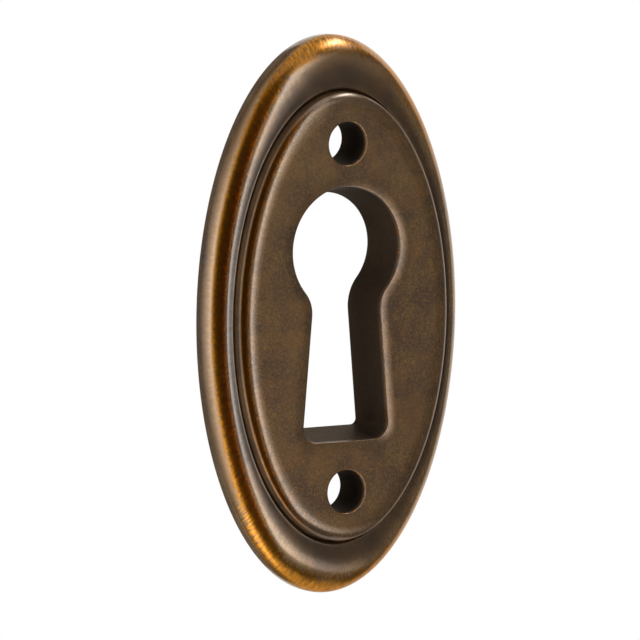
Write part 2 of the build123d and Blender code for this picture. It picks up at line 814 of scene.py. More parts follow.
class MaterialBench(NodeBench):
    """A bench for a new material, with its shader and its output at hand."""

    def __init__(self, name: str) -> None:
        """Start the material.

        Args:
            name: The material's name.
        """
        self.material = bpy.data.materials.new(name)
        self.material.use_nodes = True
        super().__init__(self.material.node_tree)
        self.shader = self.tree.nodes["Principled BSDF"]
        self.output = self.tree.nodes["Material Output"]

    def place(self) -> Socket:
        """Return the object's own coordinates."""
        return self.node("TexCoord").outputs["Object"]

    def millimetres(self) -> Socket:
        """Return the object's own coordinates in millimetres."""
        inputs = {0: self.place(), "Scale": 1.0 / MM}
        return self.node("VectorMath", inputs, operation="SCALE").outputs["Vector"]

    def stored(self, name: str, output: str = "Fac") -> Socket:
        """Return what the mesh stores per point under a name."""
        return self.node("Attribute", attribute_name=name).outputs[output]

    def bumped(self, height: Socket) -> Socket:
        """Return the normal over a height in millimetres."""
        return self.node("Bump", {"Strength": 1.0, "Distance": MM, "Height": height}).outputs["Normal"]


class NodeGroups:
    """The node groups that the finishes share, each built once."""

    aside: tuple[float, float, float] = (31.0, 17.0, 5.0)
    fine_share: float = 0.9
    broad_share: float = 0.1

    def __init__(self) -> None:
        """Build every group."""
        self.mottle = self.build_mottle()
        self.hairlines = self.build_hairlines()

    def build_mottle(self) -> bpy.types.NodeTree:
        """Build the uneven tone of a chemical patina, for coordinates in millimetres.

        Returns:
            A group with soft clouds, a warm blush, fine speckle, sparse flecks and a cast grain.
        """
        bench = GroupBench("Mottle")
        here = bench.vector
        aside = bench.node("VectorMath", {0: here, 1: self.aside}, operation="ADD").outputs["Vector"]
        cloud = bench.noise(here, scale=0.36, detail=5.0, roughness=0.62)
        blush = bench.noise(aside, scale=0.5, detail=5.0, roughness=0.66)
        speckle = bench.noise(here, scale=5.5, detail=4.0, roughness=0.7)
        fleck = bench.noise(aside, scale=6.5, detail=3.0, roughness=0.6)
        outputs = {
            "Cloud": bench.eased(cloud, low=0.38, high=0.62),
            "Blush": bench.eased(blush, low=0.42, high=0.66),
            "Speckle": bench.eased(speckle, low=0.32, high=0.70),
            "Fleck": bench.eased(fleck, low=0.52, high=0.66),
            "Grain": bench.noise(here, scale=8.0, detail=3.0, roughness=0.6),
        }
        return bench.close(outputs)

    def build_hairlines(self) -> bpy.types.NodeTree:
        """Build short marks of a rubbing cloth, for coordinates squeezed along the marks.

        Returns:
            A group with the marks as a mask and as a height.
        """
        bench = GroupBench("Hairlines")
        fine = bench.noise(bench.vector, scale=11.0, detail=2.0, roughness=0.5)
        broad = bench.noise(bench.vector, scale=2.6, detail=2.0, roughness=0.5)
        fine_part = bench.times(fine, self.fine_share)
        both = bench.maths("ADD", fine_part, bench.times(broad, self.broad_share))
        return bench.close({"Streak": bench.eased(both, low=0.37, high=0.63), "Height": fine})


@dataclass(frozen=True)
class PatinatedBrass:
    """Dark antique patina over brass, lacquered, rubbed thin on the rounds and through at the ends, with
    painted light and shade in its tones.
    """

    name: str = "patinated_brass"
    dark: Colour = (0.110, 0.066, 0.030)
    light: Colour = (0.215, 0.134, 0.066)
    cloud: Colour = (0.078, 0.052, 0.039)
    cloud_share: float = 0.65
    blush: Colour = (0.240, 0.118, 0.048)
    blush_share: float = 0.4
    fleck: Colour = (0.360, 0.170, 0.045)
    fleck_share: float = 0.5
    tan: Colour = (0.270, 0.168, 0.082)
    tan_most: float = 0.75
    tan_least: float = 0.3
    # Painted light and shade: the rubbed brass is a darker, redder amber where the rim reflects dark, gold
    # where highlights fall, and honey on the outer band under the side lamp's highlight.
    shade_amber: Colour = (0.600, 0.155, 0.003)
    shade_amber_low: Colour = (0.210, 0.048, 0.001)
    highlight_gold: Colour = (0.420, 0.165, 0.004)
    highlight_gold_low: Colour = (0.230, 0.082, 0.001)
    highlight_honey: Colour = (0.175, 0.082, 0.012)
    brass: Colour = (0.600, 0.245, 0.018)
    brass_low: Colour = (0.420, 0.150, 0.008)
    # Thick dark patina, also used as painted shade on the openings' walls.
    smoke_and_shade: Colour = (0.050, 0.034, 0.024)
    # Near-black painted shade for the groove and the openings' walls, also the groove's dark residue.
    grime_and_shade: Colour = (0.014, 0.010, 0.007)
    streak_middle: float = 0.5
    raggedness: float = 0.45
    rubbed_raggedness: float = 1.7
    bare_raggedness: float = 1.5
    patina_metallic: float = 0.65
    patina_roughness: float = 0.37
    speckle_roughness: float = 0.05
    brass_roughness: float = 0.26
    polished_roughness: float = 0.19
    grime_and_shade_roughness: float = 0.85
    grain_height: float = 0.0065
    streak_height: float = 0.0030
    polish_streaks: float = 0.6
    base_ior: float = 1.3
    edge_tint: Colour = (1.0, 0.86, 0.72)
    film_between_streaks: float = 0.68
    film_worn_from: float = 0.2
    film_on_brass: float = 0.25
    coat_roughness: float = 0.13
    coat_ior: float = 1.8

    def build(self, groups: NodeGroups) -> bpy.types.Material:
        """Make the material.

        Args:
            groups: The shared node groups.

        Returns:
            The material.
        """
        bench = MaterialBench(self.name)
        mottle = bench.group(groups.mottle, bench.millimetres())
        marks = bench.group(groups.hairlines, bench.stored("brush", "Vector"))
        streak = marks["Streak"]
        ragged = bench.times(bench.maths("SUBTRACT", streak, self.streak_middle), self.raggedness)
        thin = self.reached(bench, "rubbed", bench.times(ragged, self.rubbed_raggedness))
        bright = self.reached(bench, "bare", bench.times(ragged, self.bare_raggedness))
        worn = bench.maths("MAXIMUM", thin, bright)
        # Painted shade in the groove and on the openings' walls, with the groove's dark residue.
        grimed_or_shaded = bench.stored("grime_and_shade")
        polish = bench.stored("polish")

        # Colour: patina, rubbed to amber or gold, bared to brass, with smoke and grime on top. The rubbed
        # tone is painted light and shade: gold where highlights fall, amber where the rim reflects dark,
        # and honey on the outer band where the side lamp's highlight falls. The grime and the bores' smoke
        # are painted shade in the groove and on the openings' walls.
        shade_amber = bench.mixed(streak, self.shade_amber_low, self.shade_amber)
        highlight_gold = bench.mixed(streak, self.highlight_gold_low, self.highlight_gold)
        rubbed = bench.mixed(bench.stored("highlight_gold"), shade_amber, highlight_gold)
        metal = bench.mixed(thin, self.patina(bench, mottle), rubbed)
        # Painted light: the honey tone on the outer band where the side lamp's highlight falls.
        metal = bench.mixed(self.reached(bench, "outer", ragged), metal, self.highlight_honey)
        metal = bench.mixed(bright, metal, bench.mixed(streak, self.brass_low, self.brass))
        metal = bench.mixed(bench.stored("smoke_and_shade"), metal, self.smoke_and_shade)

        # Roughness: less on pale speckle, polish and brass.
        dull = self.patina_roughness + self.speckle_roughness
        fair = self.patina_roughness - self.speckle_roughness
        rough = bench.eased(mottle["Speckle"], 0.0, 1.0, dull, fair)
        rough = bench.blended(polish, rough, self.polished_roughness)
        rough = bench.blended(worn, rough, self.brass_roughness)

        # Lacquer: broken by the brush marks and mostly gone where the brass shows.
        film = bench.eased(streak, 0.0, 1.0, self.film_between_streaks, 1.0)
        film = bench.times(film, bench.stored("lacquer"))
        film = bench.times(film, bench.eased(worn, self.film_worn_from, 1.0, 1.0, self.film_on_brass))

        # Height: cast grain all over, brush marks where the plate was rubbed or polished.
        grain = bench.times(mottle["Grain"], self.grain_height)
        brushed = bench.maths("MAXIMUM", worn, bench.times(polish, self.polish_streaks))
        lines = bench.times(bench.times(marks["Height"], brushed), self.streak_height)
        inputs = {
            "Base Color": bench.mixed(grimed_or_shaded, metal, self.grime_and_shade),
            "Metallic": bench.eased(worn, 0.0, 1.0, self.patina_metallic, 1.0),
            "Roughness": bench.blended(grimed_or_shaded, rough, self.grime_and_shade_roughness),
            "IOR": self.base_ior,
            "Specular Tint": self.edge_tint,
            "Coat Weight": film,
            "Coat Roughness": self.coat_roughness,
            "Coat IOR": self.coat_ior,
            "Normal": bench.bumped(bench.maths("ADD", grain, lines)),
        }
        bench.feed(bench.shader, inputs)
        return bench.material

    def patina(self, bench: MaterialBench, mottle: dict[str, Socket]) -> Socket:
        """Mix the patina's own colours.

        Args:
            bench: The material's bench.
            mottle: The mottle group's outputs.

        Returns:
            The colour.
        """
        tone = bench.mixed(mottle["Speckle"], self.dark, self.light)
        tone = bench.mixed(bench.times(mottle["Cloud"], self.cloud_share), tone, self.cloud)
        tone = bench.mixed(bench.times(mottle["Blush"], self.blush_share), tone, self.blush)
        tone = bench.mixed(bench.times(mottle["Fleck"], self.fleck_share), tone, self.fleck)
        clear = bench.eased(mottle["Cloud"], 0.0, 1.0, self.tan_most, self.tan_least)
        return bench.mixed(bench.times(bench.stored("burnish"), clear), tone, self.tan)

    @staticmethod
    def reached(bench: MaterialBench, name: str, ragged: Socket) -> Socket:
        """Break the edge of a worn area into hairlines.

        Args:
            bench: The material's bench.
            name: Where the mesh stores how far the area is worn.
            ragged: The hairlines, about nothing on average.

        Returns:
            The worn area as a mask.
        """
        share = bench.stored(name)
        mask = bench.eased(bench.maths("ADD", share, ragged), low=0.1, high=0.9)
        return bench.times(mask, bench.eased(share, low=0.02, high=0.25))


@dataclass(frozen=True)
class CastBack:
    """The back as it left the mould and the patina bath, never rubbed: dull, grainy and blotchy."""

    name: str = "cast_back"
    dark: Colour = (0.080, 0.052, 0.029)
    light: Colour = (0.200, 0.131, 0.072)
    stain: Colour = (0.058, 0.041, 0.030)
    stain_share: float = 0.5
    metallic: float = 0.55
    roughness: float = 0.46
    stain_roughness: float = 0.60
    grain_height: float = 0.03

    def build(self, groups: NodeGroups) -> bpy.types.Material:
        """Make the material.

        Args:
            groups: The shared node groups.

        Returns:
            The material.
        """
        bench = MaterialBench(self.name)
        mottle = bench.group(groups.mottle, bench.millimetres())
        tone = bench.mixed(mottle["Speckle"], self.dark, self.light)
        stained = bench.times(mottle["Cloud"], self.stain_share)
        inputs = {
            "Base Color": bench.mixed(stained, tone, self.stain),
            "Metallic": self.metallic,
            "Roughness": bench.eased(mottle["Cloud"], 0.0, 1.0, self.roughness, self.stain_roughness),
            "Normal": bench.bumped(bench.times(mottle["Grain"], self.grain_height)),
        }
        bench.feed(bench.shader, inputs)
        return bench.material


class Survey:
    """What the plate's wear depends on, measured at each point of its mesh.

    The lean is how many degrees the surface turns from sideways towards the front. End and side
    shares run from the plate's middle to its top or bottom and to its right.
    """

    screw_reach: float = 1.3

    def __init__(self, plate: "EscutcheonPlate", mesh: bpy.types.Mesh, draft: Draft) -> None:
        """Measure a mesh.

        Args:
            plate: The plate that it shows.
            mesh: The mesh.
            draft: What the mesh was made from.
        """
        outer = plate.section.outer
        normals = np.empty(len(draft.zones) * 3, dtype=np.float32)
        mesh.vertex_normals.foreach_get("vector", normals)
        self.normals = normals.reshape(-1, 3)
        self.lean = np.degrees(np.arcsin(np.clip(-self.normals[:, 1], -1.0, 1.0)))
        self.kinds = draft.zones
        self.zones = np.array([zone.value for zone in draft.zones])
        self.points = draft.points()
        self.places = self.points[:, [0, 2]]
        self.x, self.z = self.places.T
        self.rise = -self.points[:, 1]
        self.end_share = np.abs(self.z) / outer.half_height
        self.side_share = self.x / outer.half_width
        turn = np.arctan2(self.z / outer.half_height, self.side_share)
        self.around = np.mod(np.degrees(turn), 360.0)
        off_screws = np.abs(np.abs(self.z) - plate.screw_heights[1])
        self.at_screws = off_screws < self.screw_reach * plate.screw_radius

    def on(self, *zones: Zone) -> Array:
        """Return True for each point in some zones."""
        return np.isin(self.zones, [zone.value for zone in zones])

    def by_zone(self, table: dict[Zone, float], rest: float) -> Array:
        """Return each point's value from a table of zones, or rest for zones that it leaves out."""
        return np.array([table.get(zone, rest) for zone in self.kinds])

    def sideways(self, oval: Oval) -> Array:
        """Return how far an oval faces sideways at each point: 1 at its sides, 0 at its ends."""
        return np.abs(oval.outward(self.places)[:, 0])

    def facing_in(self, oval: Oval) -> Array:
        """Return how far each point's normal turns towards an oval's middle, from -1 to 1."""
        return -(self.normals[:, [0, 2]] * oval.outward(self.places)).sum(axis=1)


# Shares by zone. Zones left out have all of the lacquer and none of the polish or the smoke. The bores'
# smoke share is painted shade on the openings' walls.
LACQUER: dict[Zone, float] = {
    Zone.BACK: 0.2,
    Zone.GROOVE: 0.1,
    Zone.WALL: 0.15,
    Zone.SHOULDER: 0.8,
    Zone.FLAT: 0.45,
    Zone.LIP: 0.5,
    Zone.BORE: 0.0,
}
POLISH: dict[Zone, float] = {
    Zone.FLANK: 1.0,
    Zone.ROLL: 1.0,
    Zone.RIDGE: 1.0,
    Zone.SHOULDER: 0.9,
    Zone.LIP: 0.4,
}
SMOKE_AND_SHADE: dict[Zone, float] = {Zone.RIDGE: 0.4, Zone.WALL: 0.2, Zone.BORE: 0.75}


@dataclass
class Wear:
    """How the plate is rubbed, darkened, dirtied and lacquered, and where light and shade are painted into
    its tones, each as a share per point.

    Ramps whose names end in lean run over the lean. Those that end in foot or crest count it from
    there, bare_rise counts it from where a band starts and the fades from where it stops. The pressure
    is that of the cloth at some degrees round the rim. Each stain has a place (x, z), a radius and a
    share.
    """

    section: PlateSection
    survey: Survey
    to_ends: Ramp = Ramp(0.2, 0.75)
    to_tips: Ramp = Ramp(0.75, 0.97)
    to_right: Ramp = Ramp(-0.15, 0.35)
    shelter_end: Ramp = Ramp(0.66, 0.94)
    patch_scale: float = 0.9
    patch_noise: Ramp = Ramp(-0.1, 0.45)
    patch_least: float = 0.1
    patch_gain: float = 0.8
    foot_power: float = 0.45
    foot_pitch: float = 1.1
    crest_pitch: float = 0.3
    crest_least: float = 57.0
    crest_tip_lift: float = 15.0
    rim_foot: Ramp = Ramp(-12.0, 2.0)
    rim_crest: Ramp = Ramp(-10.0, -1.0)
    tip_crest: Ramp = Ramp(-18.0, 6.0)
    shoulder_foot: Ramp = Ramp(-2.0, 7.0)
    shoulder_crest: Ramp = Ramp(-9.0, -1.0)
    shoulder_height: Ramp = Ramp(13.5, 18.0)
    shoulder_left: Ramp = Ramp(-4.0, 2.0)
    lip_lean: Ramp = Ramp(4.0, 16.0)
    lip_far_lean: Ramp = Ramp(56.0, 72.0)
    screw_lip_least: float = 0.3
    keyhole_lip: float = 0.5
    # Painted light and shade: gold where the rim's outer foot and ends catch highlights, a redder tone
    # further in where it reflects dark.
    highlight_gold_end: Ramp = Ramp(0.6, 0.92)
    highlight_gold_foot: Ramp = Ramp(2.0, 20.0)
    highlight_gold_elsewhere: float = 0.5
    flat_burnish: float = 0.2
    flat_burnish_height: Ramp = Ramp(6.0, 15.5)
    end_burnish: float = 1.1
    sheltered_burnish: float = 0.5
    burnish_lean: Ramp = Ramp(66.0, 84.0)
    wall_burnish: float = 0.6
    outer_stop: float = 4.0
    bare_stop: float = 54.0
    bare_end_stop: float = 8.0
    bare_start: float = 8.0
    bare_right_start: float = -22.0
    bare_rise: Ramp = Ramp(0.0, 20.0)
    bare_fade: Ramp = Ramp(-14.0, 0.0)
    bare_right_fade: Ramp = Ramp(-26.0, 22.0)
    screw_edge_lean: Ramp = Ramp(5.0, 20.0)
    screw_edge_far_lean: Ramp = Ramp(60.0, 78.0)
    hollow_lean: Ramp = Ramp(68.0, 80.0)
    hollow_end_lean: Ramp = Ramp(68.0, 84.0)
    hollow_end_loss: float = 0.5
    shoulder_smoke: float = 0.3
    shoulder_smoke_lean: Ramp = Ramp(60.0, 80.0)
    shoulder_foot_smoke: float = 0.2
    shoulder_foot_lean: Ramp = Ramp(34.0, 48.0)
    # Painted shade: the groove is darkened towards its floor, the bores all over, and the keyhole's roof
    # most.
    groove_grime_and_shade: float = 0.25
    groove_grime_and_shade_rise: Ramp = Ramp(0.0, 0.35)
    screw_bore_shade: float = 0.72
    keyhole_bore_shade: float = 0.45
    keyhole_roof_shade: float = 0.3
    keyhole_roof: Ramp = Ramp(8.5, 10.0)
    upper_thinning: float = 0.2
    lower_thinning: float = 0.3
    lower_tip_thinning: float = 0.25
    sheltered_thinning: float = 0.4
    top_film: float = 2.6
    top_x: Ramp = Ramp(-2.2, 1.2)
    top_lean: Ramp = Ramp(20.0, 36.0)
    top_far_lean: Ramp = Ramp(60.0, 70.0)
    turned_lean: Ramp = Ramp(74.0, 89.0)
    clear_lean: Ramp = Ramp(36.0, 48.0)
    clear_least: float = 0.1
    shoulder_right_loss: float = 0.7
    shoulder_end_loss: float = 0.3
    glint_film: float = 0.95
    glint_height: Ramp = Ramp(0.88, 0.97)
    glint_lean: Ramp = Ramp(26.0, 38.0)
    hollow_facing: float = 0.05
    brush_squeeze: float = 0.11
    brush_depth: float = 0.8
    stains: tuple[tuple[float, float, float, float], ...] = (
        (4.35, -1.83, 0.9, 0.45),
        (-7.6, -3.6, 0.8, 0.35),
        (6.2, -7.5, 1.6, 0.22),
        (-6.6, 2.5, 1.4, 0.2),
        (3.4, 14.6, 1.3, 0.22),
    )
    pressed_at: tuple[int, ...] = (0, 30, 50, 75, 90, 105, 120, 218, 235, 248, 262, 275, 300, 330, 360)
    pressure: tuple[float, ...] = (
        *(0.0, 0.35, 0.75, 0.75, 0.4, 0.2, 0.0),
        *(0.0, 0.7, 0.9, 0.75, 0.55, 0.5, 0.2, 0.0),
    )

    def __post_init__(self) -> None:
        """Work out the shares that several marks use."""
        survey = self.survey
        self.ends = self.to_ends.rise(survey.end_share)
        self.tips = self.to_tips.rise(survey.end_share)
        self.right = self.to_right.rise(survey.side_share)
        self.sheltered = self.right * self.shelter_end.fall(survey.end_share)
        raw = np.array([noise.noise(Vector(point) * self.patch_scale) for point in survey.points])
        self.patches = self.patch_least + self.patch_gain * self.patch_noise.rise(raw)
        self.rim = survey.on(Zone.ROLL, Zone.FLANK)
        self.shoulder = survey.on(Zone.SHOULDER)
        self.lip = survey.on(Zone.LIP)
        self.foot, self.crest = self.rubbed_leans(self.section.outer)

    def rubbed_leans(self, oval: Oval) -> tuple[Array, Array]:
        """Find what a cloth drawn along the plate rubs of a round.

        Args:
            oval: The oval that the round follows.

        Returns:
            The leans of the rubbed band's foot and of its crest, at each point.
        """
        sideways = self.survey.sideways(oval)
        foot = np.degrees(np.arctan(sideways**self.foot_power / self.foot_pitch))
        return foot, np.degrees(np.arctan(sideways / self.crest_pitch))

    def shares(self) -> dict[str, Array]:
        """Work out every mark.

        Returns:
            A share per point by the mark's name.
        """
        lacquer, polish = self.films()
        return {
            "rubbed": self.rubbed(),
            "highlight_gold": self.highlight_gold(),
            "burnish": self.burnish(),
            # Painted light: the outer band, where the side lamp's highlight falls, takes the honey tone.
            "outer": self.baring(1.0 - self.sheltered, self.foot + self.outer_stop),
            "bare": self.bare(),
            "smoke_and_shade": self.smoke_and_shade(),
            "grime_and_shade": self.grime_and_shade(),
            "lacquer": lacquer,
            "polish": polish,
        }

    def rubbed(self) -> Array:
        """Work out how far the patina is rubbed thin, on the rim, the shoulder and the lips.

        Returns:
            A share per point, 1 where it is thinnest.
        """
        survey, lean = self.survey, self.survey.lean
        crest = np.maximum(self.crest, self.crest_least + self.crest_tip_lift * self.tips)
        fade = self.rim_crest.toward(self.tip_crest, self.tips)
        band = self.rim_foot.rise(lean - self.foot) * fade.fall(lean - crest)
        foot, crest = self.rubbed_leans(self.section.centre)
        edge = self.shoulder_foot.rise(lean - foot) * self.shoulder_crest.fall(lean - crest)
        side = self.shoulder_height.fall(np.abs(survey.z)) * self.shoulder_left.fall(survey.x)
        screw_share = between(self.screw_lip_least, 1.0, self.patches)
        share = np.where(survey.at_screws, screw_share, self.keyhole_lip * self.patches)
        worn_lip = self.lip_lean.rise(lean) * self.lip_far_lean.fall(lean)
        marks = (band * (1.0 - self.sheltered), edge * side, worn_lip * share)
        return np.select((self.rim, self.shoulder, self.lip), marks, 0.0)

    def highlight_gold(self) -> Array:
        """Work out the painted light and shade in the rubbed patina's tone: golden at the rim's outer foot
        and ends, where highlights fall, and redder further in, where it reflects dark.

        Returns:
            A share per point, 1 for gold and 0 for amber.
        """
        golden = self.highlight_gold_foot.fall(self.survey.lean - self.foot)
        golden = np.maximum(self.highlight_gold_end.rise(self.survey.end_share), golden)
        return np.where(self.rim, golden, self.highlight_gold_elsewhere)

    def burnish(self) -> Array:
        """Work out how far handling has worn the patina to tan.

        Returns:
            A share per point.
        """
        handled = np.maximum(self.end_burnish * self.ends, self.sheltered_burnish * self.sheltered)
        burnish = self.flat_burnish * self.flat_burnish_height.rise(self.survey.z)
        burnish = np.where(self.rim, handled * self.burnish_lean.fall(self.survey.lean), burnish)
        return np.where(self.survey.on(Zone.WALL), self.wall_burnish, burnish)

    def baring(self, pressed: Array, stop: Array) -> Array:
        """Work out a band on the rim, which reaches the plate's edge on the right.

        Args:
            pressed: How hard the cloth was pressed at each point.
            stop: The lean at which the band ends.

        Returns:
            A share per point, 1 where the band is strongest.
        """
        lean = self.survey.lean
        start = between(self.bare_start, self.bare_right_start, self.right)
        fade = self.bare_fade.toward(self.bare_right_fade, self.right)
        band = self.bare_rise.rise(lean - start) * fade.fall(lean - stop)
        return np.where(self.rim, band * pressed, 0.0)

    def bare(self) -> Array:
        """Work out where the cloth went through the patina to bright brass.

        Returns:
            A share per point.
        """
        lean = self.survey.lean
        pressed = np.interp(self.survey.around, self.pressed_at, self.pressure)
        bare = self.baring(pressed, self.bare_stop + self.bare_end_stop * self.ends)
        edge = self.screw_edge_lean.rise(lean) * self.screw_edge_far_lean.fall(lean)
        return np.where(self.lip & self.survey.at_screws, edge * self.patches, bare)

    def smoke_and_shade(self) -> Array:
        """Work out where the patina was left thick and dark, and the painted shade on the openings' walls.

        Returns:
            A share per point, 1 in the rim's hollow towards the ridge.
        """
        survey, lean = self.survey, self.survey.lean
        hollow = self.hollow_lean.toward(self.hollow_end_lean, self.ends)
        thick = hollow.rise(lean) * (1.0 - self.hollow_end_loss * self.ends)
        low = self.shoulder_foot_smoke * self.shoulder_foot_lean.fall(lean)
        shoulder = self.shoulder_smoke * self.shoulder_smoke_lean.fall(lean) + low
        spots = np.zeros(len(lean))
        for x, z, radius, share in self.stains:
            away = np.hypot(survey.x - x, survey.z - z) / radius
            spots += share * np.exp(-away**2)
        places = (survey.on(Zone.ROLL), self.shoulder, survey.on(Zone.FLAT))
        return np.select(places, (thick, shoulder, spots), survey.by_zone(SMOKE_AND_SHADE, 0.0))

    def grime_and_shade(self) -> Array:
        """Work out the dark residue and painted shade in the groove, and the painted shade on the
        openings' walls.

        Returns:
            A share per point.
        """
        survey = self.survey
        deep = self.groove_grime_and_shade_rise.fall(survey.rise - self.section.groove_floor)
        roof = self.keyhole_roof_shade * self.keyhole_roof.rise(survey.z)
        bore = np.where(survey.at_screws, self.screw_bore_shade, self.keyhole_bore_shade + roof)
        places = (survey.on(Zone.GROOVE, Zone.WALL), survey.on(Zone.BORE))
        return np.select(places, (self.groove_grime_and_shade * deep, bore), 0.0)

    def films(self) -> tuple[Array, Array]:
        """Work out the lacquer and the polish.

        Returns:
            A share per point for each.
        """
        survey, lean = self.survey, self.survey.lean
        lacquer = survey.by_zone(LACQUER, 1.0)
        polish = survey.by_zone(POLISH, 0.0)
        upper = survey.z > 0.0
        low_thinning = self.lower_thinning * self.ends + self.lower_tip_thinning * self.tips
        thinned = np.where(upper, self.upper_thinning * (self.ends - self.tips), low_thinning)
        topmost = self.tips * self.top_x.rise(survey.x) * upper
        topmost *= self.top_lean.rise(lean) * self.top_far_lean.fall(lean)
        left = 1.0 - thinned - self.sheltered_thinning * self.sheltered
        lacquer[self.rim] *= (left * (1.0 + self.top_film * topmost))[self.rim]

        turned = self.turned_lean.fall(lean)
        clear = self.clear_lean.rise(lean)
        film = between(LACQUER[Zone.FLAT], LACQUER[Zone.SHOULDER], turned)
        film *= between(self.clear_least, 1.0, clear)
        film *= (1.0 - self.shoulder_right_loss * self.right) * (1.0 - self.shoulder_end_loss * self.ends)
        glint = self.glint_height.rise(survey.z / self.section.centre.half_height)
        glint *= turned * self.glint_lean.rise(lean)
        lacquer[self.shoulder] = np.maximum(film, self.glint_film * glint)[self.shoulder]
        polish[self.shoulder] *= np.maximum(turned * clear, glint)[self.shoulder]
        hollow = survey.on(Zone.RIDGE) & (survey.facing_in(self.section.ridge) > self.hollow_facing)
        lacquer[hollow] = 0.0
        polish[hollow] = 0.0
        return lacquer, polish

    def brush(self) -> Array:
        """Lay out the brush marks' coordinates, round the rim and squeezed across it.

        Returns:
            A place (x, y, z) per point.
        """
        outer, survey = self.section.outer, self.survey
        travel, whole = outer.travel(survey.places)
        across = outer.depth(survey.places) + self.brush_depth * survey.rise
        round_rim = whole / FULL_TURN * circle(travel / whole * FULL_TURN)
        return np.column_stack((round_rim, across * self.brush_squeeze))


@dataclass
class EscutcheonPlate:
    """The cast plate: its section and its openings, with its wear and its finishes."""

    section: PlateSection
    keyhole: Keyhole
    screw_radius: float
    screw_heights: tuple[float, float]
    screw_around: int = 112
    screw_roll_width: float = 0.12
    screw_roll_slope: float = 9.0
    screw_edge_round: float = 0.09
    front_spacing: float = 0.4
    back_spacing: float = 0.8
    sharp_angle: float = 38.0
    back_facing: float = 0.95

    @classmethod
    def from_frame(cls) -> "EscutcheonPlate":
        """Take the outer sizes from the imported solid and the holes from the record.

        Returns:
            The plate.
        """
        low, high = (Vector(corner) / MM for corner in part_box(NODE))
        outer = Oval((high.x - low.x) / 2, (high.z - low.z) / 2)
        holes = next(mount for mount in frame["record"]["mounts"] if mount["name"] == "screw_holes")
        half_spacing = holes["dims"]["spacing_y_mm"] / 2
        return cls(
            section=PlateSection(outer, high.y - low.y),
            keyhole=Keyhole(),
            screw_radius=holes["dims"]["hole_r_mm"],
            screw_heights=(-half_spacing, half_spacing),
        )

    def screw_hole(self, height: float) -> Opening:
        """Make a screw hole.

        Args:
            height: Its centre's height.

        Returns:
            The opening.
        """
        out = circle(even_turns(self.screw_around))
        return Opening(
            np.array((0.0, height)) + self.screw_radius * out,
            -out,
            roll_width=self.screw_roll_width,
            roll_slope=self.screw_roll_slope,
            edge_round=self.screw_edge_round,
        )

    def build(self) -> bpy.types.Object:
        """Make the plate's mesh with its wear, dirt, painted light and shade, and brush coordinates.

        Returns:
            The piece.
        """
        section = self.section
        draft = Draft()
        rings = []
        for oval, rise, zone in section.stations():
            rings.append(draft.ring(oval.ring(section.around), rise, zone))
        draft.bridge(rings)
        openings = [self.keyhole.opening(), *map(self.screw_hole, self.screw_heights)]
        fronts, backs = zip(*(opening.cut(draft, section) for opening in openings))
        draft.fill(rings[-1], fronts, self.front_spacing, section.surface, Zone.FLAT)
        draft.fill(rings[0], backs, self.back_spacing, section.level, Zone.BACK)
        piece = draft.finish("escutcheon_plate_cast")
        self.mark(piece.data, draft)
        return piece

    def mark(self, mesh: bpy.types.Mesh, draft: Draft) -> None:
        """Shade the mesh and store its wear, its painted light and shade and its brush marks' coordinates.

        Args:
            mesh: The plate's mesh.
            draft: What it was made from.
        """
        mesh.shade_smooth()
        mesh.set_sharp_from_angle(angle=math.radians(self.sharp_angle))
        wear = Wear(self.section, Survey(self, mesh, draft))
        for name, values in wear.shares().items():
            store(mesh, name, values)
        brush = mesh.attributes.new("brush", "FLOAT_VECTOR", "POINT")
        brush.data.foreach_set("vector", wear.brush().astype(np.float32).ravel())

    def dress(
        self, piece: bpy.types.Object, front: PatinatedBrass, back: CastBack, groups: NodeGroups
    ) -> None:
        """Give the plate its finishes and tie it to the frame.

        Args:
            piece: The plate's object.
            front: The finish of all that is handled.
            back: The finish of the flat back.
            groups: The shared node groups.
        """
        mesh = piece.data
        mesh.materials.append(front.build(groups))
        mesh.materials.append(back.build(groups))
        for face in mesh.polygons:
            face.material_index = int(face.normal.y > self.back_facing)
        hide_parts(NODE)
        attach(piece, BODY)


@dataclass(frozen=True)
class Softbox:
    """A flat soft lamp that faces the plate."""

    name: str
    azimuth: float
    elevation: float
    width: float
    height: float
    radiance: float
    distance: float = 0.6

    def build(self) -> None:
        """Hang the lamp."""
        lamp = bpy.data.lights.new(self.name, "AREA")
        lamp.shape = "ELLIPSE"
        lamp.size = self.width
        lamp.size_y = self.height
        lamp.energy = self.radiance * math.pi * self.width * self.height
        piece = put(self.name, lamp)
        view = direction(self.azimuth, self.elevation)
        piece.matrix_world = Matrix.Translation(view * self.distance) @ facing(view)
        piece.visible_camera = False
        piece.visible_glossy = False


@dataclass(frozen=True)
class Hem:
    """A line across a cloth, by how far it hangs from the plate and how high.

    The fan is how wide it spreads as a share of the cloth's turn, the share its part of the glow and
    the shift how many degrees it starts off the cloth's start.
    """

    radius: float
    height: float
    fan: float = 1.0
    share: float = 1.0
    shift: float = 0.0


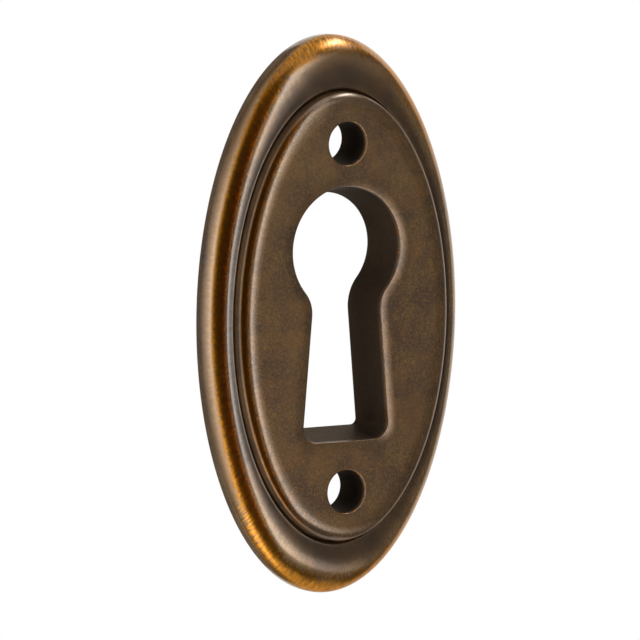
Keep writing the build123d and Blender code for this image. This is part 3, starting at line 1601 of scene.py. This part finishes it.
@dataclass(frozen=True)
class Panel:
    """A curved cloth round the plate, brighter at one side than at the other.

    A bright one is a tall soft lamp, a dark one keeps the white room out of the reflections. Its
    hems run from its lower edge to its upper one.
    """

    name: str
    start: float
    end: float
    start_glow: float
    end_glow: float
    hems: tuple[Hem, ...]
    ease: float = 1.0
    lights: bool = False
    columns: int = 32

    def build(self, cloth: bpy.types.Material) -> None:
        """Stand the cloth up.

        Args:
            cloth: The cloths' glowing material.
        """
        row = self.columns + 1
        across = np.linspace(0.0, 1.0, row)
        fall = between(self.end_glow, self.start_glow, (1.0 - across) ** self.ease)
        points = []
        for hem in self.hems:
            lift = Vector((0.0, 0.0, hem.height))
            turns = self.start + hem.shift + (self.end - self.start) * hem.fan * across
            points += [direction(turn, 0.0) * hem.radius + lift for turn in turns]
        faces = []
        for first in range(0, row * (len(self.hems) - 1), row):
            after = first + row
            faces += [(first + i, first + i + 1, after + i + 1, after + i) for i in range(self.columns)]
        mesh = new_mesh(self.name, points, faces)
        store(mesh, "glow", np.concatenate([fall * hem.share for hem in self.hems]))
        mesh.materials.append(cloth)
        piece = put(self.name, mesh)
        piece.visible_camera = False
        piece.visible_diffuse = self.lights
        piece.visible_shadow = False


# Where the cloths hang. Their feet lie just above the floor, one kind over another.
STRIP_FOOT = -0.114
FRONT_FOOT = -0.1145
CLOTH_FOOT = -0.115
LEFT_HEMS = (
    Hem(0.03, STRIP_FOOT, share=0.95, shift=16.0),
    Hem(0.07, STRIP_FOOT, share=0.95, shift=14.0),
    Hem(0.2, STRIP_FOOT, share=0.9, shift=6.0),
    Hem(0.6, STRIP_FOOT),
    Hem(0.6, 0.1),
    Hem(0.6, 0.35, share=0.5, shift=5.0),
    Hem(0.6, 0.62, share=0.42, shift=5.0),
    Hem(0.6, 0.95, share=0.32, shift=5.0),
    Hem(0.3, 1.3, share=0.3, shift=5.0),
)
LEFT_EDGE_FANS = (2.0, 2.0, 1.9, 1.0, 1.0, 1.9, 1.9, 1.9, 1.9)
LEFT_EDGE_HEMS = tuple(replace(hem, fan=fan) for hem, fan in zip(LEFT_HEMS, LEFT_EDGE_FANS))
RIGHT_HEMS = (
    Hem(0.122, STRIP_FOOT, fan=3.4),
    Hem(0.16, STRIP_FOOT, fan=2.6),
    Hem(0.24, STRIP_FOOT),
    Hem(0.6, STRIP_FOOT),
    Hem(0.6, 0.30),
    Hem(0.6, 0.38, fan=1.5, share=0.9),
    Hem(0.6, 0.46, fan=2.2, share=0.7),
)
OVERHEAD_HEMS = (
    Hem(0.45, 0.34, share=0.0),
    Hem(0.45, 0.50, share=0.20),
    Hem(0.45, 0.61),
    Hem(0.45, 0.80, share=0.22),
    Hem(0.30, 1.10, share=0.0),
)
CAMERA_SIDE_HEMS = (
    Hem(0.12, CLOTH_FOOT, share=2.4),
    Hem(0.75, CLOTH_FOOT),
    Hem(0.75, 0.15),
    Hem(0.75, 0.5, share=2.4),
    Hem(0.75, 0.92, share=3.0),
)
RIGHT_CLOTH_HEMS = (
    Hem(0.075, CLOTH_FOOT),
    Hem(0.75, CLOTH_FOOT),
    Hem(0.75, 0.25),
    Hem(0.75, 0.9, fan=0.7),
)
LEFT_CLOTH_HEMS = (Hem(0.02, CLOTH_FOOT), Hem(0.75, CLOTH_FOOT), Hem(0.75, 1.1), Hem(0.38, 1.5))
FRONT_HEMS = (Hem(0.05, FRONT_FOOT), Hem(0.125, FRONT_FOOT))


@dataclass
class Studio:
    """The pale floor, the white surroundings, the lamps and the cloths."""

    floor_drop: float = 0.12
    floor_radius: float = 0.4
    floor_colour: Colour = (0.86, 0.86, 0.86)
    floor_roughness: float = 0.8
    floor_around: int = 96
    fade_start: float = 0.12
    fade_end_share: float = 0.95
    fade_least: float = 0.3
    fill: float = 0.35
    lamps: tuple[Softbox, ...] = (
        Softbox("overhead", azimuth=72.0, elevation=54.0, width=0.8, height=0.22, radiance=3.0),
    )
    cloths: tuple[Panel, ...] = (
        Panel("left_strip", -77.0, -140.0, 3.8, 0.12, LEFT_HEMS, ease=1.75, lights=True),
        Panel("left_strip_edge", -77.0, -67.0, 3.8, 0.0, LEFT_EDGE_HEMS, lights=True),
        Panel("right_strip", -1.0, 30.0, 5.0, 0.12, RIGHT_HEMS, ease=2.4, lights=True),
        Panel("overhead_near_half", 65.0, 30.0, 13.0, 0.0, OVERHEAD_HEMS, lights=True),
        Panel("overhead_far_half", 65.0, 110.0, 13.0, 0.0, OVERHEAD_HEMS, lights=True),
        Panel("front_cloth", -72.0, 40.0, 0.03, 0.03, FRONT_HEMS),
        Panel("camera_side_cloth", -78.0, -2.0, 0.022, 0.022, CAMERA_SIDE_HEMS),
        Panel("right_cloth", 22.0, 95.0, 0.10, 0.10, RIGHT_CLOTH_HEMS),
        Panel("left_cloth", -190.0, -136.0, 0.16, 0.16, LEFT_CLOTH_HEMS),
    )

    def build(self) -> None:
        """Set up the whole studio."""
        self.build_floor()
        self.build_world()
        for lamp in self.lamps:
            lamp.build()
            LOG.info("lamp %s", lamp.name)
        glowing = self.glowing_cloth()
        for cloth in self.cloths:
            cloth.build(glowing)
            LOG.info("cloth %s", cloth.name)

    @staticmethod
    def glowing_cloth() -> bpy.types.Material:
        """Make the material of the cloths, whose glow is stored in their meshes.

        Returns:
            The material.
        """
        bench = MaterialBench("glowing_cloth")
        bench.tree.nodes.remove(bench.shader)
        glow = bench.node("Emission", {"Color": WHITE, "Strength": bench.stored("glow")})
        bench.feed(bench.output, {"Surface": glow.outputs["Emission"]})
        return bench.material

    def build_floor(self) -> None:
        """Lay a round pale floor below the plate, fading to white at its edge."""
        around = self.floor_around
        rim = [direction(360.0 * i / around, 0.0) * self.floor_radius for i in range(around)]
        points = [(place.x, place.y, -self.floor_drop) for place in rim]
        mesh = new_mesh("floor", points, [tuple(range(around))])
        bench = MaterialBench("pale_floor")
        bench.feed(bench.shader, {"Base Color": self.floor_colour, "Roughness": self.floor_roughness})
        glow = bench.node("Emission", {"Color": WHITE})
        out = bench.node("VectorMath", {0: bench.place()}, operation="LENGTH").outputs["Value"]
        fade_end = self.floor_radius * self.fade_end_share
        fade = bench.eased(out, self.fade_start, fade_end, self.fade_least, 1.0)
        layers = {
            0: bench.times(bench.seen(), fade),
            1: bench.shader.outputs["BSDF"],
            2: glow.outputs["Emission"],
        }
        bench.feed(bench.output, {"Surface": bench.node("MixShader", layers).outputs["Shader"]})
        mesh.materials.append(bench.material)
        piece = put("floor", mesh)

    def build_world(self) -> None:
        """Make the surroundings white to look at and dim as a lamp."""
        world = bpy.data.worlds.new("white_room")
        bpy.context.scene.world = world
        world.use_nodes = True
        world.cycles.sampling_method = "NONE"
        bench = NodeBench(world.node_tree)
        strength = bench.eased(bench.seen(), 0.0, 1.0, self.fill, 1.0)
        bench.feed(world.node_tree.nodes["Background"], {"Color": WHITE, "Strength": strength})


@dataclass
class ViewCamera:
    """The camera, placed so that the plate stands in the frame as in the photograph."""

    azimuth: float = -32.5
    elevation: float = 6.9
    roll: float = 0.22
    lens: float = 900.0
    sensor: float = 36.0
    clip_start: float = 0.05
    clip_end: float = 20.0
    pixels_per_mm: float = 12.487
    origin_pixel: tuple[float, float] = (322.45, 313.1)

    def build(self) -> None:
        """Set up the camera and make it the scene's."""
        view = direction(self.azimuth, self.elevation)
        turn = facing(view) @ Matrix.Rotation(math.radians(self.roll), 4, "Z")
        right, up = turn.col[0].to_3d(), turn.col[1].to_3d()
        shift_x = (IMAGE_SIZE / 2 - self.origin_pixel[0]) / self.pixels_per_mm * MM
        shift_y = (self.origin_pixel[1] - IMAGE_SIZE / 2) / self.pixels_per_mm * MM
        target = right * shift_x + up * shift_y
        distance = IMAGE_SIZE / self.pixels_per_mm * MM * self.lens / self.sensor
        camera = bpy.data.cameras.new("view_camera")
        camera.lens = self.lens
        camera.sensor_width = self.sensor
        camera.clip_start = self.clip_start
        camera.clip_end = self.clip_end
        piece = put("view_camera", camera)
        piece.matrix_world = Matrix.Translation(target + view * distance) @ turn
        bpy.context.scene.camera = piece


def main() -> None:
    """Build the plate, its finish, the studio and the camera, and log the mesh's counts of points and
    faces.
    """
    logging.basicConfig(level=logging.INFO, format="%(name)s: %(message)s")
    groups = NodeGroups()
    plate = EscutcheonPlate.from_frame()
    piece = plate.build()
    plate.dress(piece, PatinatedBrass(), CastBack(), groups)
    mesh = piece.data
    LOG.info("piece %s: %d points, %d faces", piece.name, len(mesh.vertices), len(mesh.polygons))
    Studio().build()
    ViewCamera().build()
    bpy.context.scene.view_settings.view_transform = "Standard"


if __name__ == "__main__":
    main()
